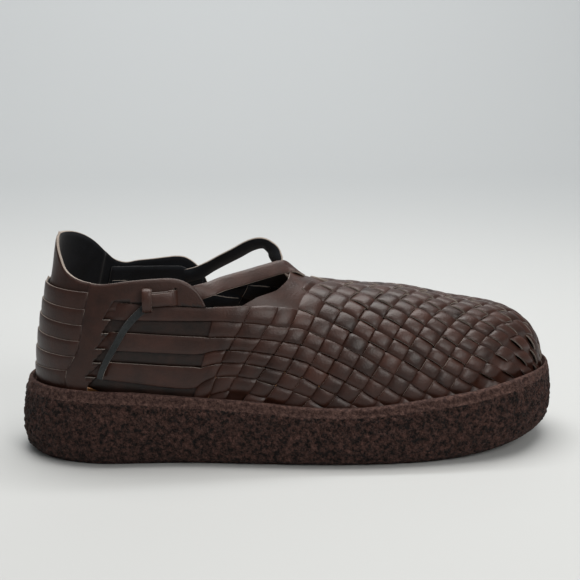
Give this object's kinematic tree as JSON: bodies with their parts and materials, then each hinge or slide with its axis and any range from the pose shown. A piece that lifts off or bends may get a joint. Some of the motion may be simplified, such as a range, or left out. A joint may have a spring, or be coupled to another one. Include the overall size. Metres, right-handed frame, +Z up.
{
  "type": "woven leather slip-on shoe",
  "caption": "Closed-toe slip-on shoe of woven leather strips with side straps, heel counter, knotted instep straps and a thick crepe rubber cup sole.",
  "frame": {"origin": "centre of the bounding box in plan, on the ground under the sole", "axes": "+X towards the toe, +Y towards the inner side of the foot, +Z up"},
  "size_m": [0.3046, 0.1138, 0.1213],
  "materials": {
    "woven_leather": "semi-matte brown leather",
    "suede": "grey suede",
    "crepe": "dark brown crumbly crepe",
    "footbed": "tan leather"
  },
  "bodies": {
    "root": {"outsole": "crepe", "insole": "footbed", "upper": "woven_leather", "heel_counter": "woven_leather", "heel_bands": "woven_leather", "instep_strap_lateral": "woven_leather", "strap_knot_lateral": "woven_leather", "strap_tail_lateral": "suede", "instep_strap_medial": "woven_leather", "strap_knot_medial": "woven_leather", "strap_tail_medial": "suede"}
  },
  "joints": []
}
